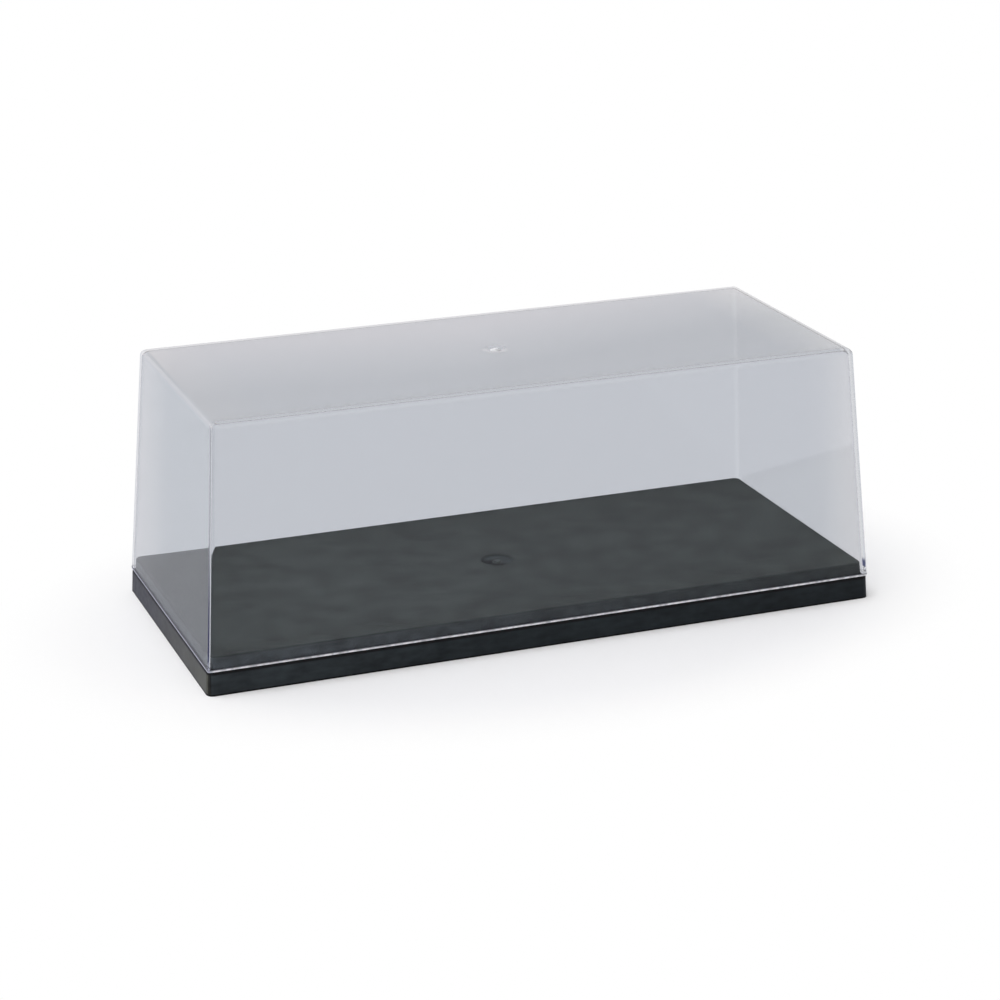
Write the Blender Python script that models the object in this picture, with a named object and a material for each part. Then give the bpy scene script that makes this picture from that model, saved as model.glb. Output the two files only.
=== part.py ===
"""A plastic display case for a scale model: a black base moulding and a clear cover that lifts off it.

All sizes are in metres. The long side runs along X, the front looks to -Y and +Z is up. The origin is
the middle of the footprint, on the surface that the case stands on.

The base is one stepped tray moulding. Its skirt stands on the shelf, its ledge carries the rim of the
cover, and its raised platform centres the cover from inside. The cover is one thin shell whose walls
lean inwards, so that it leaves its mould, and which drops over the platform on to the ledge.
"""

import math

import bmesh
import bpy
from mathutils import Matrix, Vector

# The whole case, with its cover seated
CASE_LENGTH = 0.2500
CASE_WIDTH = 0.1100
CASE_HEIGHT = 0.0938

# The skirt of the base and the ledge on top of it
SKIRT_HEIGHT = 0.0082
SKIRT_WALL = 0.0018
SKIRT_DRAFT = math.radians(3.0)
SKIRT_CORNER = 0.0025
SKIRT_EDGE = 0.0003
LEDGE_THICKNESS = 0.0018

# The platform of the base
PLATFORM_RISE = 0.0051
PLATFORM_WALL = 0.0018
PLATFORM_EDGE = 0.0005
PLATFORM_CORNER = 0.0024
PLATE_THICKNESS = 0.0018

# The stiffening ribs that hang under the platform, in a grid
RIB_DEPTH = 0.0030
RIB_THICKNESS = 0.0012
RIB_DRAFT = math.radians(1.5)
POCKET_CORNER = 0.0015
POCKETS_LONG = 5
POCKETS_WIDE = 3

# The mark of the base's gate: a round recess with the broken sprue standing in it, and a pad below
GATE_RECESS_RADIUS = 0.0060
GATE_RECESS_DEPTH = 0.0009
GATE_RECESS_SLOPE = 0.0008
GATE_STUB_RADIUS = 0.0017
GATE_STUB_TIP_RADIUS = 0.0012
GATE_STUB_HEIGHT = 0.0007
GATE_PAD_MARGIN = 0.0015

# The clear cover
COVER_WALL = 0.0010
COVER_ROOF = 0.0012
COVER_DRAFT = math.radians(4.05)
COVER_CORNER = 0.0008
COVER_INNER_CORNER = 0.0012
COVER_TOP_EDGE = 0.0020
COVER_INNER_EDGE = 0.0016
LIP_HEIGHT = 0.0009
LIP_PROUD = 0.00010
LIP_EDGE = 0.00010

# The mark of the cover's gate, in the middle of the roof
COVER_DIMPLE_RADIUS = 0.0023
COVER_DIMPLE_DEPTH = 0.00025
COVER_STUB_RADIUS = 0.0008
COVER_STUB_HEIGHT = 0.0002

# How the cover sits on the base
LIP_SETBACK = 0.00005
SEAT_GAP = 0.0003
SIDE_CLEARANCE = 0.00040

# How finely round shapes are cut into flats, and how far a cutter reaches past what it cuts
CORNER_STEPS = 8
TOP_EDGE_STEPS = 5
SMALL_EDGE_STEPS = 3
ROUND_STEPS = 48
OVERRUN = 0.0010
SMOOTH_ANGLE = math.radians(32)

# Places that follow from the sizes
LEDGE_Z = SKIRT_HEIGHT
PLATFORM_Z = LEDGE_Z + PLATFORM_RISE
COVER_FOOT_Z = LEDGE_Z + SEAT_GAP
COVER_HEIGHT = CASE_HEIGHT - COVER_FOOT_Z
SKIRT_SLOPE = math.tan(SKIRT_DRAFT)
COVER_SLOPE = math.tan(COVER_DRAFT)
RIB_SLOPE = math.tan(RIB_DRAFT)


def inset(half, amount):
    """Half sizes of an outline moved in by an amount on every side."""
    return (half[0] - amount, half[1] - amount)


SKIRT_FOOT = (CASE_LENGTH / 2, CASE_WIDTH / 2)
LEDGE = inset(SKIRT_FOOT, SKIRT_SLOPE * SKIRT_HEIGHT)
LIP_FOOT = inset(LEDGE, LIP_SETBACK)
COVER_FOOT = inset(LIP_FOOT, LIP_PROUD)
COVER_INNER_FOOT = inset(COVER_FOOT, COVER_WALL / math.cos(COVER_DRAFT))
PLATFORM_SETBACK = SIDE_CLEARANCE / math.cos(COVER_DRAFT) - COVER_SLOPE * SEAT_GAP
PLATFORM_FOOT = inset(COVER_INNER_FOOT, PLATFORM_SETBACK)


def clear_scene():
    for thing in list(bpy.data.objects):
        bpy.data.objects.remove(thing, do_unlink=True)


def new_collection(name):
    collection = bpy.data.collections.new(name)
    bpy.context.scene.collection.children.link(collection)
    return collection


def plastic(name, colour, roughness, transmission=0.0, ior=1.5):
    """A moulded plastic, by its colour, gloss and clearness."""
    material = bpy.data.materials.new(name)
    material.use_nodes = True
    shader = material.node_tree.nodes["Principled BSDF"]
    shader.inputs["Base Color"].default_value = (*colour, 1.0)
    shader.inputs["Roughness"].default_value = roughness
    shader.inputs["Metallic"].default_value = 0.0
    shader.inputs["Transmission Weight"].default_value = transmission
    shader.inputs["IOR"].default_value = ior
    material.diffuse_color = (*colour, 1.0)
    return material


def new_object(name, bm, collection, height=0.0):
    """An object from a finished bmesh, with its origin on the case's axis at a height."""
    bmesh.ops.recalc_face_normals(bm, faces=bm.faces)
    mesh = bpy.data.meshes.new(name)
    bm.to_mesh(mesh)
    bm.free()
    thing = bpy.data.objects.new(name, mesh)
    thing.location = (0.0, 0.0, height)
    collection.objects.link(thing)
    return thing


def round_edges(bm, edges, radius, steps):
    bmesh.ops.bevel(
        bm,
        geom=edges,
        offset=radius,
        offset_type="OFFSET",
        affect="EDGES",
        segments=steps,
        profile=0.5,
        material=-1,
        clamp_overlap=True,
    )


def edges_at(bm, z):
    """The edges that lie at a height."""
    return [edge for edge in bm.edges if all(math.isclose(v.co.z, z, rel_tol=1e-5) for v in edge.verts)]


def corner_lines(bm):
    """The upright edges of a block round the origin, with their run over its rounded top edges."""
    return [
        edge
        for edge in bm.edges
        if all(one * other > 0 for one, other in zip(edge.verts[0].co.xy, edge.verts[1].co.xy))
    ]


def drafted_block(
    half_low, slope, z_low, z_high, corner, low_edge=0.0, high_edge=0.0, steps=SMALL_EDGE_STEPS
):
    """A bmesh block whose sides lean in as they rise, with rounded lower, upper and upright edges."""
    half_high = inset(half_low, slope * (z_high - z_low))
    bm = bmesh.new()
    bmesh.ops.create_cube(bm, size=2.0)
    for vertex in bm.verts:
        upper = vertex.co.z > 0
        half = half_high if upper else half_low
        vertex.co.x *= half[0]
        vertex.co.y *= half[1]
        vertex.co.z = z_high if upper else z_low
    # The widest rounding is made first, and the finer ones then run over it.
    roundings = (
        (corner, CORNER_STEPS, corner_lines),
        (low_edge, steps, lambda block: edges_at(block, z_low)),
        (high_edge, steps, lambda block: edges_at(block, z_high)),
    )
    for radius, count, find_edges in sorted(roundings, key=lambda rounding: rounding[0], reverse=True):
        if radius:
            round_edges(bm, find_edges(bm), radius, count)
    return bm


def round_block(radius_low, radius_high, z_low, z_high):
    """A bmesh disc or stub on the case's axis, whose side may slope."""
    bm = bmesh.new()
    bmesh.ops.create_cone(
        bm,
        cap_ends=True,
        segments=ROUND_STEPS,
        radius1=radius_low,
        radius2=radius_high,
        depth=z_high - z_low,
        matrix=Matrix.Translation(Vector((0.0, 0.0, (z_low + z_high) / 2))),
    )
    return bm


def shape(target, helper, operation):
    """Cuts a helper from a target, or joins it on, and keeps the helper out of the render."""
    helper.hide_render = True
    helper.display_type = "WIRE"
    modifier = target.modifiers.new(helper.name, "BOOLEAN")
    modifier.operation = operation
    modifier.solver = "EXACT"
    modifier.object = helper


def finish(thing, material):
    """Gives a moulding its material, and shades its rounded parts smooth."""
    thing.data.materials.append(material)
    thing.data.shade_smooth()
    thing.data.set_sharp_from_angle(angle=SMOOTH_ANGLE)


def rib_pockets(helpers):
    """The pockets between the ribs, as cutters that widen towards the open underside."""
    plate_under = PLATFORM_Z - PLATE_THICKNESS
    rib_tip = plate_under - RIB_DEPTH
    mouth = rib_tip - OVERRUN
    inner = inset(PLATFORM_FOOT, PLATFORM_WALL + COVER_SLOPE * (plate_under - LEDGE_Z))
    pitch = (2 * inner[0] / POCKETS_LONG, 2 * inner[1] / POCKETS_WIDE)
    half_tip = inset((pitch[0] / 2, pitch[1] / 2), RIB_THICKNESS / 2)
    half_mouth = inset(half_tip, -RIB_SLOPE * OVERRUN)
    pockets = []
    for column in range(POCKETS_LONG):
        for row in range(POCKETS_WIDE):
            bm = drafted_block(half_mouth, RIB_SLOPE, mouth, plate_under, POCKET_CORNER)
            across = (column - (POCKETS_LONG - 1) / 2) * pitch[0]
            deep = (row - (POCKETS_WIDE - 1) / 2) * pitch[1]
            bmesh.ops.translate(bm, verts=bm.verts, vec=(across, deep, 0.0))
            pockets.append(new_object(f"pocket_{column + 1}_{row + 1}", bm, helpers))
    return pockets


def make_base(parts, helpers):
    """The black moulding: skirt, ledge and platform outside, a hollow with ribs underneath."""
    skirt = drafted_block(SKIRT_FOOT, SKIRT_SLOPE, 0.0, LEDGE_Z, SKIRT_CORNER, SKIRT_EDGE, SKIRT_EDGE)
    base = new_object("base", skirt, parts)

    sunk = inset(PLATFORM_FOOT, -COVER_SLOPE * OVERRUN)
    block = drafted_block(
        sunk, COVER_SLOPE, LEDGE_Z - OVERRUN, PLATFORM_Z, PLATFORM_CORNER, high_edge=PLATFORM_EDGE
    )
    shape(base, new_object("platform_block", block, helpers), "UNION")

    # The hollow under the ledge leans with the skirt, so that the skirt's wall is even.
    hollow_foot = inset(SKIRT_FOOT, SKIRT_WALL - SKIRT_SLOPE * OVERRUN)
    ledge_under = LEDGE_Z - LEDGE_THICKNESS
    hollow = drafted_block(hollow_foot, SKIRT_SLOPE, -OVERRUN, ledge_under, SKIRT_CORNER)
    shape(base, new_object("skirt_hollow", hollow, helpers), "DIFFERENCE")

    # The hollow under the platform leans with the platform's own wall and ends at the ribs' tips.
    rib_tip = PLATFORM_Z - PLATE_THICKNESS - RIB_DEPTH
    start = ledge_under - OVERRUN
    upper_foot = inset(PLATFORM_FOOT, PLATFORM_WALL - COVER_SLOPE * (LEDGE_Z - start))
    hollow = drafted_block(upper_foot, COVER_SLOPE, start, rib_tip, PLATFORM_CORNER)
    shape(base, new_object("platform_hollow", hollow, helpers), "DIFFERENCE")
    for pocket in rib_pockets(helpers):
        shape(base, pocket, "DIFFERENCE")

    # The pad keeps the plate's thickness under the gate's recess. The pad and the broken sprue both
    # reach the middle of the plate that is left between them, and become one with it there.
    plate_under = PLATFORM_Z - PLATE_THICKNESS
    pad_radius = GATE_RECESS_RADIUS + GATE_PAD_MARGIN
    floor_z = PLATFORM_Z - GATE_RECESS_DEPTH
    plate_middle = (plate_under + floor_z) / 2
    pad = round_block(pad_radius, pad_radius, plate_under - GATE_RECESS_DEPTH, plate_middle)
    shape(base, new_object("gate_pad", pad, helpers), "UNION")
    widening = GATE_RECESS_SLOPE * (GATE_RECESS_DEPTH + OVERRUN) / GATE_RECESS_DEPTH
    recess_floor_radius = GATE_RECESS_RADIUS - GATE_RECESS_SLOPE
    recess = round_block(recess_floor_radius, recess_floor_radius + widening, floor_z, PLATFORM_Z + OVERRUN)
    shape(base, new_object("gate_recess", recess, helpers), "DIFFERENCE")
    stub = round_block(GATE_STUB_RADIUS, GATE_STUB_TIP_RADIUS, plate_middle, floor_z + GATE_STUB_HEIGHT)
    shape(base, new_object("gate_stub", stub, helpers), "UNION")

    finish(base, plastic("black_moulded_plastic", (0.022, 0.024, 0.026), 0.5))
    return base


def make_cover(parts, helpers):
    """The clear shell: leaning walls, a flat roof with rounded edges and a fine lip round its foot."""
    wall_start = LIP_HEIGHT / 2
    wall = drafted_block(
        inset(COVER_FOOT, COVER_SLOPE * wall_start),
        COVER_SLOPE,
        wall_start,
        COVER_HEIGHT,
        COVER_CORNER,
        high_edge=COVER_TOP_EDGE,
        steps=TOP_EDGE_STEPS,
    )
    cover = new_object("clear_cover", wall, parts, COVER_FOOT_Z)

    lip_corner = COVER_CORNER + LIP_PROUD
    lip = drafted_block(LIP_FOOT, 0.0, 0.0, LIP_HEIGHT, lip_corner, LIP_EDGE, LIP_EDGE)
    shape(cover, new_object("rim_lip", lip, helpers, COVER_FOOT_Z), "UNION")

    inner_foot = inset(COVER_INNER_FOOT, -COVER_SLOPE * OVERRUN)
    space = drafted_block(
        inner_foot,
        COVER_SLOPE,
        -OVERRUN,
        COVER_HEIGHT - COVER_ROOF,
        COVER_INNER_CORNER,
        high_edge=COVER_INNER_EDGE,
    )
    shape(cover, new_object("cover_space", space, helpers, COVER_FOOT_Z), "DIFFERENCE")

    dimple_floor = COVER_HEIGHT - COVER_DIMPLE_DEPTH
    widening = COVER_DIMPLE_RADIUS * (COVER_DIMPLE_DEPTH + OVERRUN) / COVER_DIMPLE_DEPTH
    dimple = round_block(
        COVER_STUB_RADIUS, COVER_STUB_RADIUS + widening, dimple_floor, COVER_HEIGHT + OVERRUN
    )
    shape(cover, new_object("cover_dimple", dimple, helpers, COVER_FOOT_Z), "DIFFERENCE")
    stub_root = dimple_floor - COVER_DIMPLE_DEPTH
    stub = round_block(COVER_STUB_RADIUS, COVER_STUB_RADIUS, stub_root, dimple_floor + COVER_STUB_HEIGHT)
    shape(cover, new_object("cover_gate_stub", stub, helpers, COVER_FOOT_Z), "UNION")

    finish(cover, plastic("clear_polystyrene", (0.86, 0.88, 0.90), 0.03, transmission=1.0, ior=1.59))
    return cover


clear_scene()
case_parts = new_collection("plastic_display_case")
shaping_helpers = new_collection("cutters_and_joined_shapes")
make_base(case_parts, shaping_helpers)
make_cover(case_parts, shaping_helpers)
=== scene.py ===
"""The looks of a plastic display case for a scale model: a black base moulding and a clear cover over it.

Lengths are in metres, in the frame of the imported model: the long side runs along X, the front looks to -Y
and +Z is up. The sections follow the case as it is put together, from the base up.
"""

import math

import bmesh
import bpy
from mathutils import Matrix, Vector, noise


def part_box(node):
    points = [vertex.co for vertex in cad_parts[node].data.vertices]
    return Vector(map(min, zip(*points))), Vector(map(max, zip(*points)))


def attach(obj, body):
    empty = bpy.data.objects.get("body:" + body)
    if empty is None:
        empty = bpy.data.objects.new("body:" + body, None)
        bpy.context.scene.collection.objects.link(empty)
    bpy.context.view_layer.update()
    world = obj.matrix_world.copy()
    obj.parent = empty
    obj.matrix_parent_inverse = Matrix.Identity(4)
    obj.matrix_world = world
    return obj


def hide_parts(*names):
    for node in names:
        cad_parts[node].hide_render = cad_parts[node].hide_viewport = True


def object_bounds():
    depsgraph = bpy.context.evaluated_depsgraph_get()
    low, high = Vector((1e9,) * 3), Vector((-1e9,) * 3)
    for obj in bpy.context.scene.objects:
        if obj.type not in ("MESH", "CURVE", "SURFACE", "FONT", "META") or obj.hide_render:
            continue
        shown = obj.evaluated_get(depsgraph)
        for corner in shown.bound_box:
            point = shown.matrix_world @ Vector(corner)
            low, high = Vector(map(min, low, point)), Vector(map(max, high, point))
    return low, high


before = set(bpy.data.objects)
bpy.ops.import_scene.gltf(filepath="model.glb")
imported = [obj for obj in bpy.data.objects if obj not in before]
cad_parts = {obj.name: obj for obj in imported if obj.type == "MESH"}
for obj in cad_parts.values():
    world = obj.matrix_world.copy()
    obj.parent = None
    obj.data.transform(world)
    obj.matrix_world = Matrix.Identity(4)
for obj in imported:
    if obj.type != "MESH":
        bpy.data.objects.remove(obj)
cad_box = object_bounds()

# Camera
# A long lens looks at the case from the front left and a little above, as in the product photograph. It is
# rolled by a fraction of a degree, as the photograph is.

CAMERA_AIM = Vector((0.00135, 0.0, 0.0362))
CAMERA_DISTANCE = 0.9987
CAMERA_TURN = math.radians(-20.69)
CAMERA_RISE = math.radians(19.19)
CAMERA_ROLL = math.radians(-0.43)
LENS_MM = 98.39
SENSOR_MM = 36.0
NEAREST_SEEN = 0.01

towards_camera = Vector(
    (
        math.sin(CAMERA_TURN) * math.cos(CAMERA_RISE),
        -math.cos(CAMERA_TURN) * math.cos(CAMERA_RISE),
        math.sin(CAMERA_RISE),
    )
)
camera_data = bpy.data.cameras.new("camera")
camera_data.lens = LENS_MM
camera_data.sensor_width = SENSOR_MM
camera_data.clip_start = NEAREST_SEEN
camera = bpy.data.objects.new("camera", camera_data)
camera.matrix_world = (
    Matrix.Translation(CAMERA_AIM + CAMERA_DISTANCE * towards_camera)
    @ towards_camera.to_track_quat("Z", "Y").to_matrix().to_4x4()
    @ Matrix.Rotation(CAMERA_ROLL, 4, "Z")
)
bpy.context.scene.collection.objects.link(camera)
bpy.context.scene.camera = camera

# Base
# One black polystyrene moulding: a low skirt, a ledge for the cover's rim and a raised platform. The
# platform is spark-eroded to a matt grain, and the skirt is left satin. The plastic came in through a gate
# in the middle of the platform, where a recess holds the broken sprue.

SKIRT_HEIGHT = 0.0082
PLATFORM_RISE = 0.0051
RECESS_RADIUS = 0.0060
STUB_RADIUS = 0.0017
# The skirt's foot is as long and as wide as the whole case.
base_front = cad_box[0][1]
base_end = cad_box[1][0]
platform_z = SKIRT_HEIGHT + PLATFORM_RISE

# The blacks of the platform, its leaning sides, the skirt and the gate's recess, with painted light and
# shade in
# them: the leaning sides and the skirt's front are painted lighter to the left, the skirt's left end has a
# painted sheen that is paler near the front, a near-black paints shade lines along edges, the recess holds
# painted shade and its wall is painted pale as if lit.
PLATFORM_BLACK = (0.0455, 0.0525, 0.0510, 1.0)
SIDE_BLACK_LIT_LEFT = (0.0920, 0.1040, 0.1120, 1.0)
SIDE_BLACK_SHADED_RIGHT = (0.0490, 0.0570, 0.0580, 1.0)
SKIRT_BLACK_LIT_LEFT = (0.0275, 0.0355, 0.0385, 1.0)
SKIRT_BLACK_SHADED_RIGHT = (0.0150, 0.0215, 0.0240, 1.0)
SKIRT_END_SHEEN = (0.0380, 0.0410, 0.0500, 1.0)
SKIRT_END_SHEEN_NEAR = (0.0950, 0.1000, 0.0800, 1.0)
SHADE_LINE_BLACK = (0.0030, 0.0035, 0.0040, 1.0)
RECESS_SHADE_BLACK = (0.0180, 0.0210, 0.0215, 1.0)
STUB_GREY = (0.0900, 0.1000, 0.0980, 1.0)
WALL_LIT_GREY = (0.1500, 0.1620, 0.1620, 1.0)

# Heights between which one finish gives way to the next, and the bands of the painted shade lines
ABOVE_LEDGE = (SKIRT_HEIGHT + 0.0001, SKIRT_HEIGHT + 0.0004)
RISER_FOOT = (SKIRT_HEIGHT + 0.0005, SKIRT_HEIGHT + 0.0010)
PLATFORM_EDGE = (platform_z - 0.0006, platform_z - 0.0002)
BELOW_PLATFORM = (platform_z - 0.00021, platform_z - 0.00001)
SKIRT_TOP_LINE = (SKIRT_HEIGHT - 0.0010, SKIRT_HEIGHT - 0.0005)
SKIRT_FOOT_LINE = (0.0005, 0.00075)

# Lengths along and across the base, between which the painted light and shade change. The painted shade
# line at the front left corner lies where X plus Y, less the skirt's lean, is lowest.
PLATFORM_BACK = (0.0, 0.045)
SKIRT_LEFT_END = (-0.1240, -0.1237)
SKIRT_LEFT_END_BACK = 0.030
SKIRT_CORNER_LINE = (-0.17847, -0.17837)
SKIRT_CORNER_LEAN = 0.105
SKIRT_CORNER_SHARE = 0.8
PLATFORM_BACK_SHARE = 0.94
PLATFORM_LEFT_SHARE = 1.05
PLATFORM_RIGHT_SHARE = 0.86

# Distances from the gate's axis, and the blotchy painted shade in the recess, which fades to the back and
# right
IN_RECESS = (RECESS_RADIUS - 0.0001, RECESS_RADIUS)
PAST_RECESS_WALL = (RECESS_RADIUS + 0.0002, RECESS_RADIUS + 0.0003)
PAST_STUB = (STUB_RADIUS, STUB_RADIUS + 0.0001)
RECESS_SHADE_BLOTCH = (0.38, 0.58)
RECESS_SHADE_LEAST = 0.55
RECESS_SHADE_BACK = (0.0020, 0.0050)
RECESS_SHADE_RIGHT = (-0.0015, 0.0015)
RECESS_SHADE_RIGHT_SHARE = 0.65

# Patches in the plastic and in the recess's painted shade: how wide they are, how many finer octaves they
# hold, and what they change
CLOUD_ACROSS = 0.0100
CLOUD_DETAIL = 5.0
STREAK_ACROSS = 0.0022
STREAK_DETAIL = 4.0
STREAK_STRETCH = (0.35, 1.0, 1.0)
RECESS_SHADE_ACROSS = 0.0045
RECESS_SHADE_DETAIL = 2.0
GRAIN_ACROSS = 0.00050
GRAIN_DETAIL = 8.0
GRAIN_HEIGHT = 0.000002
GRAIN_ON_SKIRT = 0.25
CLOUD_SPAN = (0.7, 1.3)
CLOUD_SHARE = 0.36
GLOSS_SPAN = (0.3, 0.7)
GLOSS_SPREAD = 0.07

PLATFORM_ROUGHNESS = 0.62
SKIRT_ROUGHNESS = 0.40
RECESS_ROUGHNESS = 0.90
BASE_SPECULAR = 0.18

# The ends of a share that rises or falls, and the stretch of a pattern, even or level with the floor
RISING = (0.0, 1.0)
FALLING = (1.0, 0.0)
EVEN = (1.0, 1.0, 1.0)
LEVEL = (1.0, 1.0, 0.0)

# Where the colour sockets of a Mix node stand among its inputs and outputs
MIX_FIRST = 6
MIX_SECOND = 7
MIX_MADE = 2


def new_material(name):
    """A material with a Principled shader and its node tree."""
    material = bpy.data.materials.new(name)
    material.use_nodes = True
    tree = material.node_tree
    return material, tree, tree.nodes["Principled BSDF"]


def new_patches():
    """A node group of the soft patches that flow leaves in moulded plastic, as shares from 0 to 1."""
    group = bpy.data.node_groups.new("moulding_patches", "ShaderNodeTree")
    for name, kind in (("Scale", "Float"), ("Detail", "Float"), ("Stretch", "Vector")):
        group.interface.new_socket(name, in_out="INPUT", socket_type="NodeSocket" + kind)
    group.interface.new_socket("Share", in_out="OUTPUT", socket_type="NodeSocketFloat")
    given = group.nodes.new("NodeGroupInput")
    here = group.nodes.new("ShaderNodeTexCoord")
    mapping = group.nodes.new("ShaderNodeMapping")
    pattern = group.nodes.new("ShaderNodeTexNoise")
    made = group.nodes.new("NodeGroupOutput")
    group.links.new(here.outputs["Object"], mapping.inputs["Vector"])
    group.links.new(given.outputs["Stretch"], mapping.inputs["Scale"])
    group.links.new(mapping.outputs["Vector"], pattern.inputs["Vector"])
    group.links.new(given.outputs["Scale"], pattern.inputs["Scale"])
    group.links.new(given.outputs["Detail"], pattern.inputs["Detail"])
    group.links.new(pattern.outputs["Fac"], made.inputs["Share"])
    return group


def patches(tree, across, detail, stretch=EVEN):
    """Patches about this wide in a material, stretched along its axes."""
    node = tree.nodes.new("ShaderNodeGroup")
    node.node_tree = moulding_patches
    node.inputs["Scale"].default_value = 1.0 / across
    node.inputs["Detail"].default_value = detail
    node.inputs["Stretch"].default_value = stretch
    return node.outputs["Share"]


def spot(tree, stretch=EVEN):
    """The spot on the moulding, in metres, stretched along its axes."""
    here = tree.nodes.new("ShaderNodeTexCoord")
    mapping = tree.nodes.new("ShaderNodeMapping")
    mapping.inputs["Scale"].default_value = stretch
    tree.links.new(here.outputs["Object"], mapping.inputs["Vector"])
    return mapping.outputs["Vector"]


def apart(tree, vector):
    """The X, Y and Z of a vector."""
    parts = tree.nodes.new("ShaderNodeSeparateXYZ")
    tree.links.new(vector, parts.inputs["Vector"])
    return parts.outputs["X"], parts.outputs["Y"], parts.outputs["Z"]


def distance(tree, stretch):
    """How far the spot is from the middle of the case's foot, along stretched axes."""
    length = tree.nodes.new("ShaderNodeVectorMath")
    length.operation = "LENGTH"
    tree.links.new(spot(tree, stretch), length.inputs[0])
    return length.outputs["Value"]


def maths(tree, operation, first, second=0.0):
    """Maths on one or two values, each a number or a socket."""
    node = tree.nodes.new("ShaderNodeMath")
    node.operation = operation
    for socket, value in ((node.inputs[0], first), (node.inputs[1], second)):
        if isinstance(value, float):
            socket.default_value = value
        else:
            tree.links.new(value, socket)
    return node.outputs["Value"]


def product(tree, first, *others):
    """Several shares multiplied together."""
    for other in others:
        first = maths(tree, "MULTIPLY", first, other)
    return first


def spread(tree, value, limits, ends=RISING, smooth=False):
    """A value between two limits moved to two ends, and held at the ends beyond them."""
    ramp = tree.nodes.new("ShaderNodeMapRange")
    ramp.interpolation_type = "SMOOTHSTEP" if smooth else "LINEAR"
    for name, number in zip(("From Min", "From Max", "To Min", "To Max"), (*limits, *ends)):
        ramp.inputs[name].default_value = number
    tree.links.new(value, ramp.inputs["Value"])
    return ramp.outputs["Result"]


def blend(tree, share, first, second):
    """Two colours mixed by a share, each a colour or a socket."""
    mix = tree.nodes.new("ShaderNodeMix")
    mix.data_type = "RGBA"
    tree.links.new(share, mix.inputs["Factor"])
    for socket, colour in ((mix.inputs[MIX_FIRST], first), (mix.inputs[MIX_SECOND], second)):
        if isinstance(colour, tuple):
            socket.default_value = colour
        else:
            tree.links.new(colour, socket)
    return mix.outputs[MIX_MADE]


def skirt_black(tree):
    """The skirt's black, with painted light and shade: a painted sheen on the left end, its front lighter to
    the left, and painted shade lines along its top and foot edges and its front left corner.
    """
    x, y, z = apart(tree, spot(tree))
    front = blend(tree, spread(tree, x, (-base_end, 0.0), smooth=True), SKIRT_BLACK_LIT_LEFT, SKIRT_BLACK_SHADED_RIGHT)
    nearer = spread(tree, y, (base_front, SKIRT_LEFT_END_BACK), FALLING)
    end_sheen = blend(tree, nearer, SKIRT_END_SHEEN, SKIRT_END_SHEEN_NEAR)
    black = blend(tree, spread(tree, x, SKIRT_LEFT_END, FALLING), front, end_sheen)
    lean = maths(tree, "MULTIPLY", z, SKIRT_CORNER_LEAN)
    corner = maths(tree, "SUBTRACT", maths(tree, "ADD", x, y), lean)
    corner_line = spread(tree, corner, SKIRT_CORNER_LINE, (SKIRT_CORNER_SHARE, 0.0))
    top_line = spread(tree, z, SKIRT_TOP_LINE)
    foot_line = spread(tree, z, SKIRT_FOOT_LINE, FALLING)
    shade_lines = maths(tree, "MAXIMUM", maths(tree, "MAXIMUM", top_line, foot_line), corner_line)
    return blend(tree, shade_lines, black, SHADE_LINE_BLACK)


def platform_black(tree):
    """The platform's black and that of its leaning sides, which are painted lighter to the left and end in a
    painted shade line at the ledge.
    """
    x, _, z = apart(tree, spot(tree))
    side = blend(tree, spread(tree, x, (-base_end, base_end)), SIDE_BLACK_LIT_LEFT, SIDE_BLACK_SHADED_RIGHT)
    black = blend(tree, spread(tree, z, PLATFORM_EDGE), side, PLATFORM_BLACK)
    return blend(tree, spread(tree, z, RISER_FOOT, FALLING), black, SHADE_LINE_BLACK)


def with_gate(tree, black, from_gate, sunk, in_recess):
    """A black with the gate's mark on it: the recess's wall painted pale as if lit, blotchy painted shade in
    the recess and the grey stub.
    """
    x, y, _ = apart(tree, spot(tree))
    lit_wall = product(
        tree,
        spread(tree, from_gate, IN_RECESS),
        spread(tree, from_gate, PAST_RECESS_WALL, FALLING),
        sunk,
    )
    blotch = patches(tree, RECESS_SHADE_ACROSS, RECESS_SHADE_DETAIL)
    recess_shade = product(
        tree,
        spread(tree, blotch, RECESS_SHADE_BLOTCH, (1.0, RECESS_SHADE_LEAST), smooth=True),
        spread(tree, y, RECESS_SHADE_BACK, FALLING, smooth=True),
        spread(tree, x, RECESS_SHADE_RIGHT, (1.0, RECESS_SHADE_RIGHT_SHARE), smooth=True),
        in_recess,
    )
    stub = product(tree, in_recess, spread(tree, from_gate, PAST_STUB, FALLING))
    black = blend(tree, lit_wall, black, WALL_LIT_GREY)
    black = blend(tree, recess_shade, black, RECESS_SHADE_BLACK)
    return blend(tree, stub, black, STUB_GREY)


moulding_patches = new_patches()
base_plastic, tree, shader = new_material("black_base_plastic")
x, y, z = apart(tree, spot(tree))
on_platform = spread(tree, z, ABOVE_LEDGE)
from_gate = distance(tree, LEVEL)
sunk = spread(tree, z, BELOW_PLATFORM, FALLING)
in_recess = product(tree, sunk, spread(tree, from_gate, IN_RECESS, FALLING))
black = blend(tree, on_platform, skirt_black(tree), platform_black(tree))
black = with_gate(tree, black, from_gate, sunk, in_recess)

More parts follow.
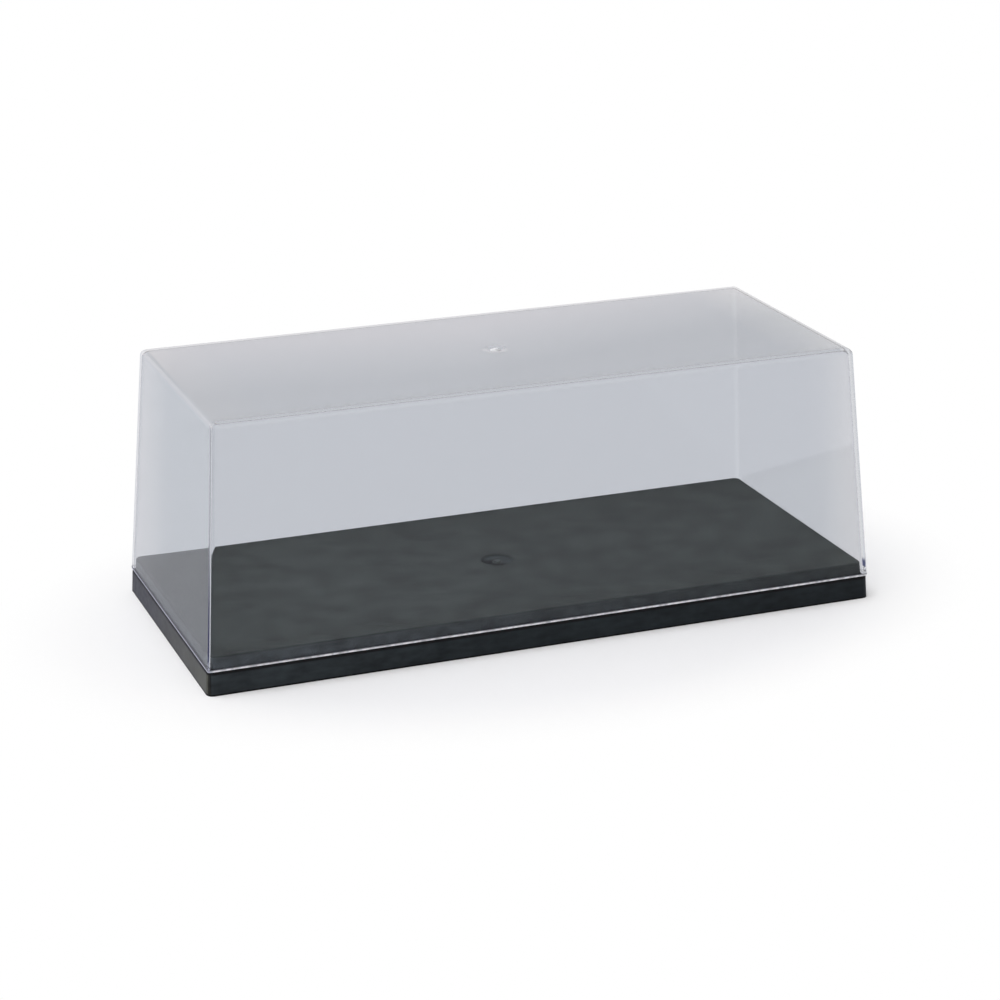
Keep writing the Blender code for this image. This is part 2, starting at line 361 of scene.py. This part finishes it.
# The plastic flowed in streaks, which vary its tone and gloss. Painted shade darkens it to the back and to
# the right.
cloud = patches(tree, CLOUD_ACROSS, CLOUD_DETAIL)
streak = patches(tree, STREAK_ACROSS, STREAK_DETAIL, STREAK_STRETCH)
shade = product(
    tree,
    spread(tree, maths(tree, "ADD", cloud, streak), CLOUD_SPAN, (1.0 - CLOUD_SHARE, 1.0 + CLOUD_SHARE)),
    spread(tree, y, PLATFORM_BACK, (1.0, PLATFORM_BACK_SHARE), smooth=True),
    spread(tree, x, (-base_end, base_end), (PLATFORM_LEFT_SHARE, PLATFORM_RIGHT_SHARE)),
)
shaded = tree.nodes.new("ShaderNodeVectorMath")
shaded.operation = "SCALE"
tree.links.new(black, shaded.inputs[0])
tree.links.new(shade, shaded.inputs["Scale"])
tree.links.new(shaded.outputs[0], shader.inputs["Base Color"])
rough = maths(
    tree,
    "ADD",
    spread(tree, on_platform, RISING, (SKIRT_ROUGHNESS, PLATFORM_ROUGHNESS)),
    spread(tree, streak, GLOSS_SPAN, (-GLOSS_SPREAD, GLOSS_SPREAD)),
)
duller = spread(tree, in_recess, RISING, (0.0, RECESS_ROUGHNESS - PLATFORM_ROUGHNESS))
tree.links.new(maths(tree, "ADD", rough, duller), shader.inputs["Roughness"])
shader.inputs["Specular IOR Level"].default_value = BASE_SPECULAR
grain = tree.nodes.new("ShaderNodeBump")
grain.inputs["Distance"].default_value = GRAIN_HEIGHT
tree.links.new(patches(tree, GRAIN_ACROSS, GRAIN_DETAIL), grain.inputs["Height"])
tree.links.new(spread(tree, on_platform, RISING, (GRAIN_ON_SKIRT, 1.0)), grain.inputs["Strength"])
tree.links.new(grain.outputs["Normal"], shader.inputs["Normal"])
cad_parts["base"].material_slots[0].material = base_plastic

# Cover
# One clear polystyrene moulding with thin leaning walls, open at the bottom, which drops over the platform
# and stands on the ledge. Its rim has a fine lip where the mould parts, and the lip's white line is painted
# light, a glow in its material.

COVER_WALL = 0.0010
COVER_ROOF = 0.0012
COVER_LEAN = math.tan(math.radians(4.05))
COVER_CORNER = 0.0008
COVER_INNER_CORNER = 0.0012
COVER_TOP_ROUND = 0.0020
COVER_INNER_ROUND = 0.0016
LIP_HEIGHT = 0.0009
LIP_PROUD = 0.0001
LIP_ROUND = 0.0001
CORNER_STEPS = 20
TOP_STEPS = 14
LIP_FINISH = 1
SAME_HEIGHT = 1e-5

# The gate's dimple in the roof: radii and depths from its edge to the middle of the broken sprue
GATE_RADIUS = 0.0052
GATE_PROFILE = (
    (0.0046, 0.00002),
    (0.0036, 0.00008),
    (0.0029, 0.00015),
    (0.0026, 0.00040),
    (0.0024, 0.00050),
    (0.0020, 0.00050),
    (0.0018, 0.00030),
    (0.0013, 0.00015),
    (0.0007, 0.00020),
)
GATE_STUB_RADIUS = 0.0019
GATE_STUB_UNEVEN = 0.45
GATE_STUB_ROUGH = 0.00018
GATE_STUB_ROUGH_FINER = 2.0
GATE_STEPS = 48

low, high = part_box("clear_cover")
lip_top = low.z + LIP_HEIGHT
lip_lean = COVER_LEAN * LIP_HEIGHT
outer_half = (high.x - LIP_PROUD - lip_lean, high.y - LIP_PROUD - lip_lean)
inner_half = (high.x - LIP_PROUD - COVER_WALL, high.y - LIP_PROUD - COVER_WALL)


def at_height(things, z):
    """The edges or faces of a bmesh that lie flat at a height."""
    return [t for t in things if all(math.isclose(v.co.z, z, rel_tol=SAME_HEIGHT) for v in t.verts)]


def at_one_corner(one, other):
    """Whether two vertices of a block stand at the same of its four corners."""
    return one.co.x * other.co.x > 0 and one.co.y * other.co.y > 0


def open_edges(bm):
    """The edges of a bmesh that have a face on one side only."""
    return [edge for edge in bm.edges if edge.is_boundary]


def round_off(bm, edges, radius, steps):
    """Rounds edges of a bmesh."""
    bmesh.ops.bevel(bm, geom=edges, offset=radius, affect="EDGES", segments=steps, profile=0.5, material=-1)


def leaning_block(half, z_low, z_high, corner, top_round):
    """An open-bottomed bmesh block whose walls lean in, with rounded upright and top edges."""
    shift = COVER_LEAN * (z_high - z_low)
    bm = bmesh.new()
    # A cube of size 2 has its corners 1 from the middle, so they scale to the block's half sizes.
    bmesh.ops.create_cube(bm, size=2.0)
    for v in bm.verts:
        upper = v.co.z > 0
        v.co.x *= half[0] - (shift if upper else 0.0)
        v.co.y *= half[1] - (shift if upper else 0.0)
        v.co.z = z_high if upper else z_low
    round_off(bm, at_height(bm.edges, z_high), top_round, TOP_STEPS)
    round_off(bm, [e for e in bm.edges if at_one_corner(*e.verts)], corner, CORNER_STEPS)
    bmesh.ops.delete(bm, geom=at_height(bm.faces, z_low), context="FACES_ONLY")
    bmesh.ops.recalc_face_normals(bm, faces=bm.faces)
    if max(bm.faces, key=lambda f: f.calc_center_median().z).normal.z < 0:
        bmesh.ops.reverse_faces(bm, faces=bm.faces)
    return bm


def grow_ring(bm, ring, move, *how):
    """Extrudes a ring of edges and moves each new vertex. Gives the new ring and its faces."""
    made = bmesh.ops.extrude_edge_only(bm, edges=ring)["geom"]
    ring = [g for g in made if isinstance(g, bmesh.types.BMEdge) and g.is_boundary]
    for v in {v for e in ring for v in e.verts}:
        v.co = move(v.co, *how)
    return ring, [g for g in made if isinstance(g, bmesh.types.BMFace)]


def frost(faces):
    """Gives faces of the cover the finish of its lip."""
    for face in faces:
        face.material_index = LIP_FINISH


def pushed_out(at, grow, z):
    """A point of the lip, moved straight out from the wall's rounded corner to another height."""
    corner = Vector(
        (
            math.copysign(outer_half[0] - COVER_CORNER, at.x),
            math.copysign(outer_half[1] - COVER_CORNER, at.y),
        )
    )
    away = (at.xy - corner).normalized() * grow
    return Vector((at.x + away.x, at.y + away.y, z))


def on_gate(at, radius, depth):
    """A point of the gate's dimple at a radius and depth, uneven where the sprue broke."""
    around = at.xy.normalized() * radius
    z = high.z - depth
    if radius < GATE_STUB_RADIUS:
        rough_at = Vector((around.x, around.y, 0.0)) / GATE_STUB_RADIUS
        around *= 1.0 + GATE_STUB_UNEVEN * noise.noise(rough_at)
        z += GATE_STUB_ROUGH * noise.noise(rough_at * GATE_STUB_ROUGH_FINER)
    return Vector((around.x, around.y, z))


def join_into(bm, other):
    """Moves another bmesh into this one."""
    mesh = bpy.data.meshes.new("part_of_piece")
    other.to_mesh(mesh)
    other.free()
    bm.from_mesh(mesh)
    bpy.data.meshes.remove(mesh)


cover_bm = leaning_block(outer_half, lip_top, high.z, COVER_CORNER, COVER_TOP_ROUND)

# The lip grows out of the wall's foot, ring by ring: out, round its upper edge, down, and round again.
ring = open_edges(cover_bm)
for grow, ring_z in (
    (LIP_PROUD + lip_lean - LIP_ROUND, lip_top),
    (LIP_ROUND, lip_top - LIP_ROUND),
    (0.0, low.z + LIP_ROUND),
    (-LIP_ROUND, low.z),
):
    ring, faces = grow_ring(cover_bm, ring, pushed_out, grow, ring_z)
    frost(faces)

# The gate left a round dimple in the middle of the roof, with the broken sprue standing in it.
roof_face = max(cover_bm.faces, key=lambda f: f.calc_area() * f.normal.z)
bmesh.ops.delete(cover_bm, geom=[roof_face], context="FACES_ONLY")
roof_edges = [e for e in open_edges(cover_bm) if e.verts[0].co.z > lip_top]
dimple_edge = bmesh.ops.create_circle(
    cover_bm,
    cap_ends=False,
    segments=GATE_STEPS,
    radius=GATE_RADIUS,
    matrix=Matrix.Translation(Vector((0.0, 0.0, high.z))),
)["verts"]
ring = [e for e in cover_bm.edges if all(v in dimple_edge for v in e.verts)]
bmesh.ops.bridge_loops(cover_bm, edges=roof_edges + ring)
for radius, depth in GATE_PROFILE:
    ring, faces = grow_ring(cover_bm, ring, on_gate, radius, depth)
    if radius < GATE_STUB_RADIUS:
        frost(faces)
frost(bmesh.ops.contextual_create(cover_bm, geom=ring)["faces"])

# The inside is a smaller block turned inside out, joined to the lip by the flat underside of the rim.
inner_bm = leaning_block(inner_half, low.z, high.z - COVER_ROOF, COVER_INNER_CORNER, COVER_INNER_ROUND)
bmesh.ops.reverse_faces(inner_bm, faces=inner_bm.faces)
join_into(cover_bm, inner_bm)
frost(bmesh.ops.bridge_loops(cover_bm, edges=open_edges(cover_bm))["faces"])
bmesh.ops.recalc_face_normals(cover_bm, faces=cover_bm.faces)

cover_mesh = bpy.data.meshes.new("cover_moulding")
cover_bm.to_mesh(cover_mesh)
cover_bm.free()
cover_mesh.shade_smooth()
cover = bpy.data.objects.new("cover_moulding", cover_mesh)
bpy.context.scene.collection.objects.link(cover)
weighted = cover.modifiers.new("flat_walls", "WEIGHTED_NORMAL")
weighted.keep_sharp = True

# The clear plastic. Its tint is painted deeper in places as shade and paler in others as light and
# highlights. Its brow is the rounded edge where the walls meet the roof.
COVER_INDEX = 1.2
LET_THROUGH = (0.93, 0.93, 0.93, 1.0)
COVER_TINT = (0.739, 0.753, 0.783, 1.0)
LEFT_SHADE_TINT = (0.700, 0.727, 0.752, 1.0)
LOW_RIGHT_LIT_TINT = (0.766, 0.784, 0.812, 1.0)
END_LIT_TINT = (0.800, 0.805, 0.825, 1.0)
BROW_HIGHLIGHT_TINT = (0.778, 0.792, 0.823, 1.0)
CORNER_SHADE_TINT = (0.610, 0.630, 0.670, 1.0)
CORNER_BACK_HIGHLIGHT_TINT = (0.772, 0.786, 0.816, 1.0)
ROOF_LEFT_LIT_TINT = (0.765, 0.770, 0.790, 1.0)
ROOF_RIGHT_LIT_TINT = (0.880, 0.880, 0.885, 1.0)
ROOF_EDGE_SHADE_TINT = (0.684, 0.696, 0.722, 1.0)

# Places on the cover between which the painted light and shade in the tint change. X times Y tells the front
# right and back left corners from the other two, and X plus Y tells the back right corner from the rest.
LEFT_HALF = (-0.1000, 0.0)
LEFT_END = (0.0, 0.0010)
RIGHT_END = (0.1060, 0.1160)
OPPOSITE_CORNERS = (-0.0060, -0.0010)
LOW_RIGHT = (0.028, 0.040)
LOW_RIGHT_SLOPE = 0.46
BROW = (0.0914, 0.0921)
ROOF = (0.0921, 0.0925)
CORNER_WIDTH = (0.0004, 0.0014)
CORNER_BACK_WIDTH = (0.0008, 0.0020)
RIGHT_BACK_CORNER = (0.1000, 0.1400)
ROOF_LEFT = (-0.1180, -0.0950)
ROOF_RIGHT = (0.0950, 0.1180)
ROOF_DARK_BAND = (-0.0025, -0.0005)
ROOF_BROW = (0.0006, 0.0011)
roof_end = outer_half[0] - COVER_LEAN * (high.z - lip_top)
roof_side = outer_half[1] - COVER_LEAN * (high.z - lip_top)


def past_corner(tree, x, y):
    """How far the spot is past the corner on an end wall, or before it, below zero, on a long wall."""
    beyond = maths(tree, "SUBTRACT", maths(tree, "ABSOLUTE", x), maths(tree, "ABSOLUTE", y))
    return maths(tree, "SUBTRACT", beyond, outer_half[0] - outer_half[1])


def wall_tint(tree):
    """The walls' tint with painted shade, deeper on the left end and most upright edges, and painted light,
    paler low right, at the ends, the brow and the back right corner.
    """
    x, y, z = apart(tree, spot(tree))
    corner = past_corner(tree, x, y)
    from_corner = maths(tree, "ABSOLUTE", corner)
    left_end = product(tree, spread(tree, corner, LEFT_END), spread(tree, x, LEFT_HALF, FALLING))
    slanting = maths(tree, "ADD", z, maths(tree, "MULTIPLY", y, LOW_RIGHT_SLOPE))
    low_right = product(
        tree, spread(tree, slanting, LOW_RIGHT, FALLING, smooth=True), spread(tree, x, RIGHT_END)
    )
    ends = product(
        tree,
        spread(tree, maths(tree, "ABSOLUTE", x), RIGHT_END),
        spread(tree, maths(tree, "MULTIPLY", x, y), OPPOSITE_CORNERS, FALLING),
    )
    to_back = maths(tree, "ADD", x, y)
    corners = product(
        tree,
        spread(tree, from_corner, CORNER_WIDTH, FALLING),
        spread(tree, to_back, RIGHT_BACK_CORNER, FALLING),
    )
    back_corner = product(
        tree, spread(tree, from_corner, CORNER_BACK_WIDTH, FALLING), spread(tree, to_back, RIGHT_BACK_CORNER)
    )
    tint = COVER_TINT
    for share, other in (
        (left_end, LEFT_SHADE_TINT),
        (low_right, LOW_RIGHT_LIT_TINT),
        (ends, END_LIT_TINT),
        (spread(tree, z, BROW), BROW_HIGHLIGHT_TINT),
        (corners, CORNER_SHADE_TINT),
        (back_corner, CORNER_BACK_HIGHLIGHT_TINT),
    ):
        tint = blend(tree, share, tint, other)
    return tint


def roof_tint(tree):
    """The roof's tint, painted paler at both ends and at the brow as light, with a band of painted shade
    along its long sides.
    """
    x, y, _ = apart(tree, spot(tree))
    past_end = maths(tree, "SUBTRACT", maths(tree, "ABSOLUTE", x), roof_end - COVER_TOP_ROUND)
    past_side = maths(tree, "SUBTRACT", maths(tree, "ABSOLUTE", y), roof_side - COVER_TOP_ROUND)
    past_rim = maths(tree, "MAXIMUM", past_end, past_side)
    tint = COVER_TINT
    for share, other in (
        (spread(tree, x, ROOF_LEFT, FALLING), ROOF_LEFT_LIT_TINT),
        (spread(tree, x, ROOF_RIGHT), ROOF_RIGHT_LIT_TINT),
        (spread(tree, past_side, ROOF_DARK_BAND), ROOF_EDGE_SHADE_TINT),
        (spread(tree, past_rim, ROOF_BROW), BROW_HIGHLIGHT_TINT),
    ):
        tint = blend(tree, share, tint, other)
    return tint


def give_way(tree, first, share, kind, colour):
    """A shader that gives way to a plain one of a colour, by a share."""
    plain = tree.nodes.new(kind)
    if isinstance(colour, tuple):
        plain.inputs["Color"].default_value = colour
    else:
        tree.links.new(colour, plain.inputs["Color"])
    mix = tree.nodes.new("ShaderNodeMixShader")
    for socket, source in zip(mix.inputs, (share, first, plain.outputs[0])):
        tree.links.new(source, socket)
    return mix.outputs["Shader"]


clear_plastic, tree, shader = new_material("clear_cover_plastic")
x, y, z = apart(tree, spot(tree))
tint = blend(tree, spread(tree, z, ROOF), wall_tint(tree), roof_tint(tree))
tree.links.new(tint, shader.inputs["Base Color"])
shader.inputs["Roughness"].default_value = 0.0
shader.inputs["IOR"].default_value = COVER_INDEX
shader.inputs["Transmission Weight"].default_value = 1.0

# Emission paints fine lines on the plastic: a painted dark grey line along the roof's right edge, and
# painted highlights down two opposite corners.
RIM_SHADE_GREY = (0.42, 0.42, 0.44, 1.0)
RIM_SHARE = 0.85
RIM_LINE = (roof_end - 0.0014, roof_end - 0.0011)
CORNER_HIGHLIGHT = (0.62, 0.63, 0.67, 1.0)
GLOW_SHARE = 0.6
GLOW_WIDTH = (0.0003, 0.0006)
GLOW_TOP = (0.0885, 0.0915)
GLOW_CORNERS = (-0.0050, -0.0040)
rim_shade_line = product(tree, spread(tree, x, RIM_LINE), spread(tree, z, ROOF, (0.0, RIM_SHARE)))
surface = give_way(tree, shader.outputs["BSDF"], rim_shade_line, "ShaderNodeEmission", RIM_SHADE_GREY)
from_corner = maths(tree, "ABSOLUTE", past_corner(tree, x, y))
corner_highlights = product(
    tree,
    spread(tree, from_corner, GLOW_WIDTH, (GLOW_SHARE, 0.0)),
    spread(tree, z, GLOW_TOP, FALLING),
    spread(tree, maths(tree, "MULTIPLY", x, y), GLOW_CORNERS, FALLING),
)
surface = give_way(tree, surface, corner_highlights, "ShaderNodeEmission", CORNER_HIGHLIGHT)

# Rays caught inside a wall end on a painted glow, whose colour is set by place, and show as a soft line in
# the
# edges: painted dark low on the left, over the black base, pale at the right end and below the roof, and
# navy right above the lip. The lamp's light passes through the plastic with a little loss.
EDGE_GREY = (0.51, 0.52, 0.555, 1.0)
EDGE_DARK = (0.06, 0.06, 0.14, 1.0)
EDGE_PALE = (0.75, 0.76, 0.78, 1.0)
EDGE_TOP = (0.61, 0.625, 0.66, 1.0)
EDGE_NAVY = (0.10, 0.11, 0.20, 1.0)
EDGE_LOW = (0.020, 0.060)
EDGE_LEFT = (-0.10, 0.0)
EDGE_RIGHT = (0.05, 0.11)
EDGE_BROW = (0.0880, 0.0920)
EDGE_FOOT = (0.0105, 0.0120)
TURNS_IN_WALL = 2.5
low_left = product(
    tree, spread(tree, z, EDGE_LOW, FALLING, smooth=True), spread(tree, x, EDGE_LEFT, FALLING, smooth=True)
)
painted_edge_glow = EDGE_GREY
for share, other in (
    (low_left, EDGE_DARK),
    (spread(tree, x, EDGE_RIGHT, smooth=True), EDGE_PALE),
    (spread(tree, z, EDGE_BROW), EDGE_TOP),
    (spread(tree, z, EDGE_FOOT, FALLING), EDGE_NAVY),
):
    painted_edge_glow = blend(tree, share, painted_edge_glow, other)
ray = tree.nodes.new("ShaderNodeLightPath")
caught = maths(tree, "GREATER_THAN", ray.outputs["Glossy Depth"], TURNS_IN_WALL)
surface = give_way(tree, surface, caught, "ShaderNodeEmission", painted_edge_glow)
surface = give_way(tree, surface, ray.outputs["Is Shadow Ray"], "ShaderNodeBsdfTransparent", LET_THROUGH)
tree.links.new(surface, tree.nodes["Material Output"].inputs["Surface"])
cover_mesh.materials.append(clear_plastic)

# The lip and the broken sprue are half clear and frosted, and glow with painted light in beads along them.
# The lip is painted dimmer near its upper edge and at its left end as shade, and the sprue in the roof glows
# less than the lip does.
LIP_WHITE = (0.90, 0.91, 0.93, 1.0)
LIP_GREY = (0.45, 0.46, 0.48, 1.0)
LIP_SHADE = (0.40, 0.41, 0.48, 1.0)
LIP_UPPER_SHADE = (0.10, 0.105, 0.12, 1.0)
GATE_GLOW = (0.12, 0.12, 0.13, 1.0)
LIP_GLOW = 0.26
LIP_ROUGHNESS = 0.35
LIP_CLEAR = 0.35
BEAD_ACROSS = 0.0022
BEAD_DETAIL = 2.0
BEAD_SPAN = (0.35, 0.62)
LIP_LEFT_END = (-0.1240, -0.1225)
LIP_UPPER = (low.z + LIP_HEIGHT * 0.60, low.z + LIP_HEIGHT * 0.85)
LIP_TO_GATE = (0.020, 0.090)
GLOW_TO_GATE = (0.010, 0.090)
lip_plastic, tree, shader = new_material("parting_lip_plastic")
x, _, z = apart(tree, spot(tree))
beads = spread(tree, patches(tree, BEAD_ACROSS, BEAD_DETAIL), BEAD_SPAN)
lip_colour = blend(tree, beads, LIP_GREY, LIP_WHITE)
lip_colour = blend(tree, spread(tree, x, LIP_LEFT_END, FALLING), lip_colour, LIP_SHADE)
upper = product(tree, spread(tree, z, LIP_UPPER), spread(tree, z, LIP_TO_GATE, FALLING))
lip_colour = blend(tree, upper, lip_colour, LIP_UPPER_SHADE)
tree.links.new(lip_colour, shader.inputs["Base Color"])
glow = blend(tree, spread(tree, z, GLOW_TO_GATE), lip_colour, GATE_GLOW)
tree.links.new(glow, shader.inputs["Emission Color"])
shader.inputs["Emission Strength"].default_value = LIP_GLOW
shader.inputs["Roughness"].default_value = LIP_ROUGHNESS
shader.inputs["IOR"].default_value = COVER_INDEX
shader.inputs["Transmission Weight"].default_value = LIP_CLEAR
ray = tree.nodes.new("ShaderNodeLightPath")
surface = give_way(
    tree, shader.outputs["BSDF"], ray.outputs["Is Shadow Ray"], "ShaderNodeBsdfTransparent", LET_THROUGH
)
tree.links.new(surface, tree.nodes["Material Output"].inputs["Surface"])
cover_mesh.materials.append(lip_plastic)

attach(cover, "cover")
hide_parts("clear_cover")

# Stage
# A plain pale floor under soft studio light. It isn't part of the case. It lights the case as a grey floor
# would and is seen as a white one, with the case's shadow near it and plain white further off.

FLOOR_SIZE = 12.0
FLOOR_PALE = (0.570, 0.580, 0.655, 1.0)
FLOOR_WHITE = (0.915, 0.920, 0.935, 1.0)
PLAIN_WHITE = (1.0, 1.0, 1.0, 1.0)
FLOOR_THROUGH_SHARE = 0.87
FLOOR_FADE = (0.125, 0.190)
FLOOR_FADE_STRETCH = (1.0, 1.4, 1.0)
floor_bm = bmesh.new()
bmesh.ops.create_grid(floor_bm, x_segments=1, y_segments=1, size=FLOOR_SIZE / 2)
floor_mesh = bpy.data.meshes.new("floor")
floor_bm.to_mesh(floor_mesh)
floor_bm.free()
floor = bpy.data.objects.new("floor", floor_mesh)
bpy.context.scene.collection.objects.link(floor)
floor_paint, tree, shader = new_material("floor_paint")
shader.inputs["Base Color"].default_value = FLOOR_PALE
shader.inputs["Roughness"].default_value = 1.0
shader.inputs["Specular IOR Level"].default_value = 0.0
ray = tree.nodes.new("ShaderNodeLightPath")
seen = maths(tree, "MAXIMUM", ray.outputs["Is Camera Ray"], ray.outputs["Is Transmission Ray"])
surface = give_way(tree, shader.outputs["BSDF"], seen, "ShaderNodeBsdfDiffuse", FLOOR_WHITE)
through = maths(tree, "MULTIPLY", ray.outputs["Is Transmission Ray"], FLOOR_THROUGH_SHARE)
far_off = spread(tree, distance(tree, FLOOR_FADE_STRETCH), FLOOR_FADE, smooth=True)
far_off = maths(tree, "MULTIPLY", ray.outputs["Is Camera Ray"], far_off)
lit = maths(tree, "MAXIMUM", through, far_off)
surface = give_way(tree, surface, lit, "ShaderNodeEmission", PLAIN_WHITE)
tree.links.new(surface, tree.nodes["Material Output"].inputs["Surface"])
floor_mesh.materials.append(floor_paint)

# The studio's wall is pale low down and darker above. The step between them rises to the left and falls to
# the right, and the roof reflects it. Seen straight, or low down through the cover, the wall is plain white.
WORLD_COLOUR = (1.0, 0.985, 0.975, 1.0)
WORLD_PALE_COLOUR = (1.05, 0.950, 0.935, 1.0)
WORLD_PALE = 0.84
WORLD_DARK = 0.40
WORLD_STEP = (0.268, 0.285)
WORLD_TURN_X = 0.33
WORLD_SLOPE_LEFT = 0.06
WORLD_SLOPE_RIGHT = 0.20
HORIZON = (0.14, 0.20)
world = bpy.data.worlds.new("studio")
world.use_nodes = True
tree = world.node_tree
sky = tree.nodes.new("ShaderNodeTexCoord")
x, _, z = apart(tree, sky.outputs["Generated"])
aside = maths(tree, "SUBTRACT", x, WORLD_TURN_X)
slant = maths(
    tree,
    "MAXIMUM",
    maths(tree, "MULTIPLY", aside, WORLD_SLOPE_LEFT),
    maths(tree, "MULTIPLY", aside, WORLD_SLOPE_RIGHT),
)
rise = maths(tree, "ADD", z, slant)
level = spread(tree, rise, WORLD_STEP, (WORLD_PALE, WORLD_DARK))
ray = tree.nodes.new("ShaderNodeLightPath")
low_through = maths(tree, "MULTIPLY", ray.outputs["Is Transmission Ray"], spread(tree, z, HORIZON, FALLING))
seen = maths(tree, "MAXIMUM", ray.outputs["Is Camera Ray"], low_through)
hue = blend(tree, spread(tree, rise, WORLD_STEP), WORLD_PALE_COLOUR, WORLD_COLOUR)
tree.links.new(maths(tree, "MAXIMUM", level, seen), tree.nodes["Background"].inputs["Strength"])
tree.links.new(blend(tree, seen, hue, PLAIN_WHITE), tree.nodes["Background"].inputs["Color"])
bpy.context.scene.world = world

LAMP_PLACE = Vector((-0.90, 0.20, 2.90))
LAMP_WATTS = 67.0
LAMP_LONG = 2.8
LAMP_WIDE = 2.0
lamp_data = bpy.data.lights.new("overhead_softbox", "AREA")
lamp_data.shape = "RECTANGLE"
lamp_data.size = LAMP_LONG
lamp_data.size_y = LAMP_WIDE
lamp_data.energy = LAMP_WATTS
lamp = bpy.data.objects.new("overhead_softbox", lamp_data)
lamp.matrix_world = Matrix.Translation(LAMP_PLACE) @ LAMP_PLACE.to_track_quat("Z", "Y").to_matrix().to_4x4()
bpy.context.scene.collection.objects.link(lamp)

bpy.context.scene.view_settings.view_transform = "Standard"
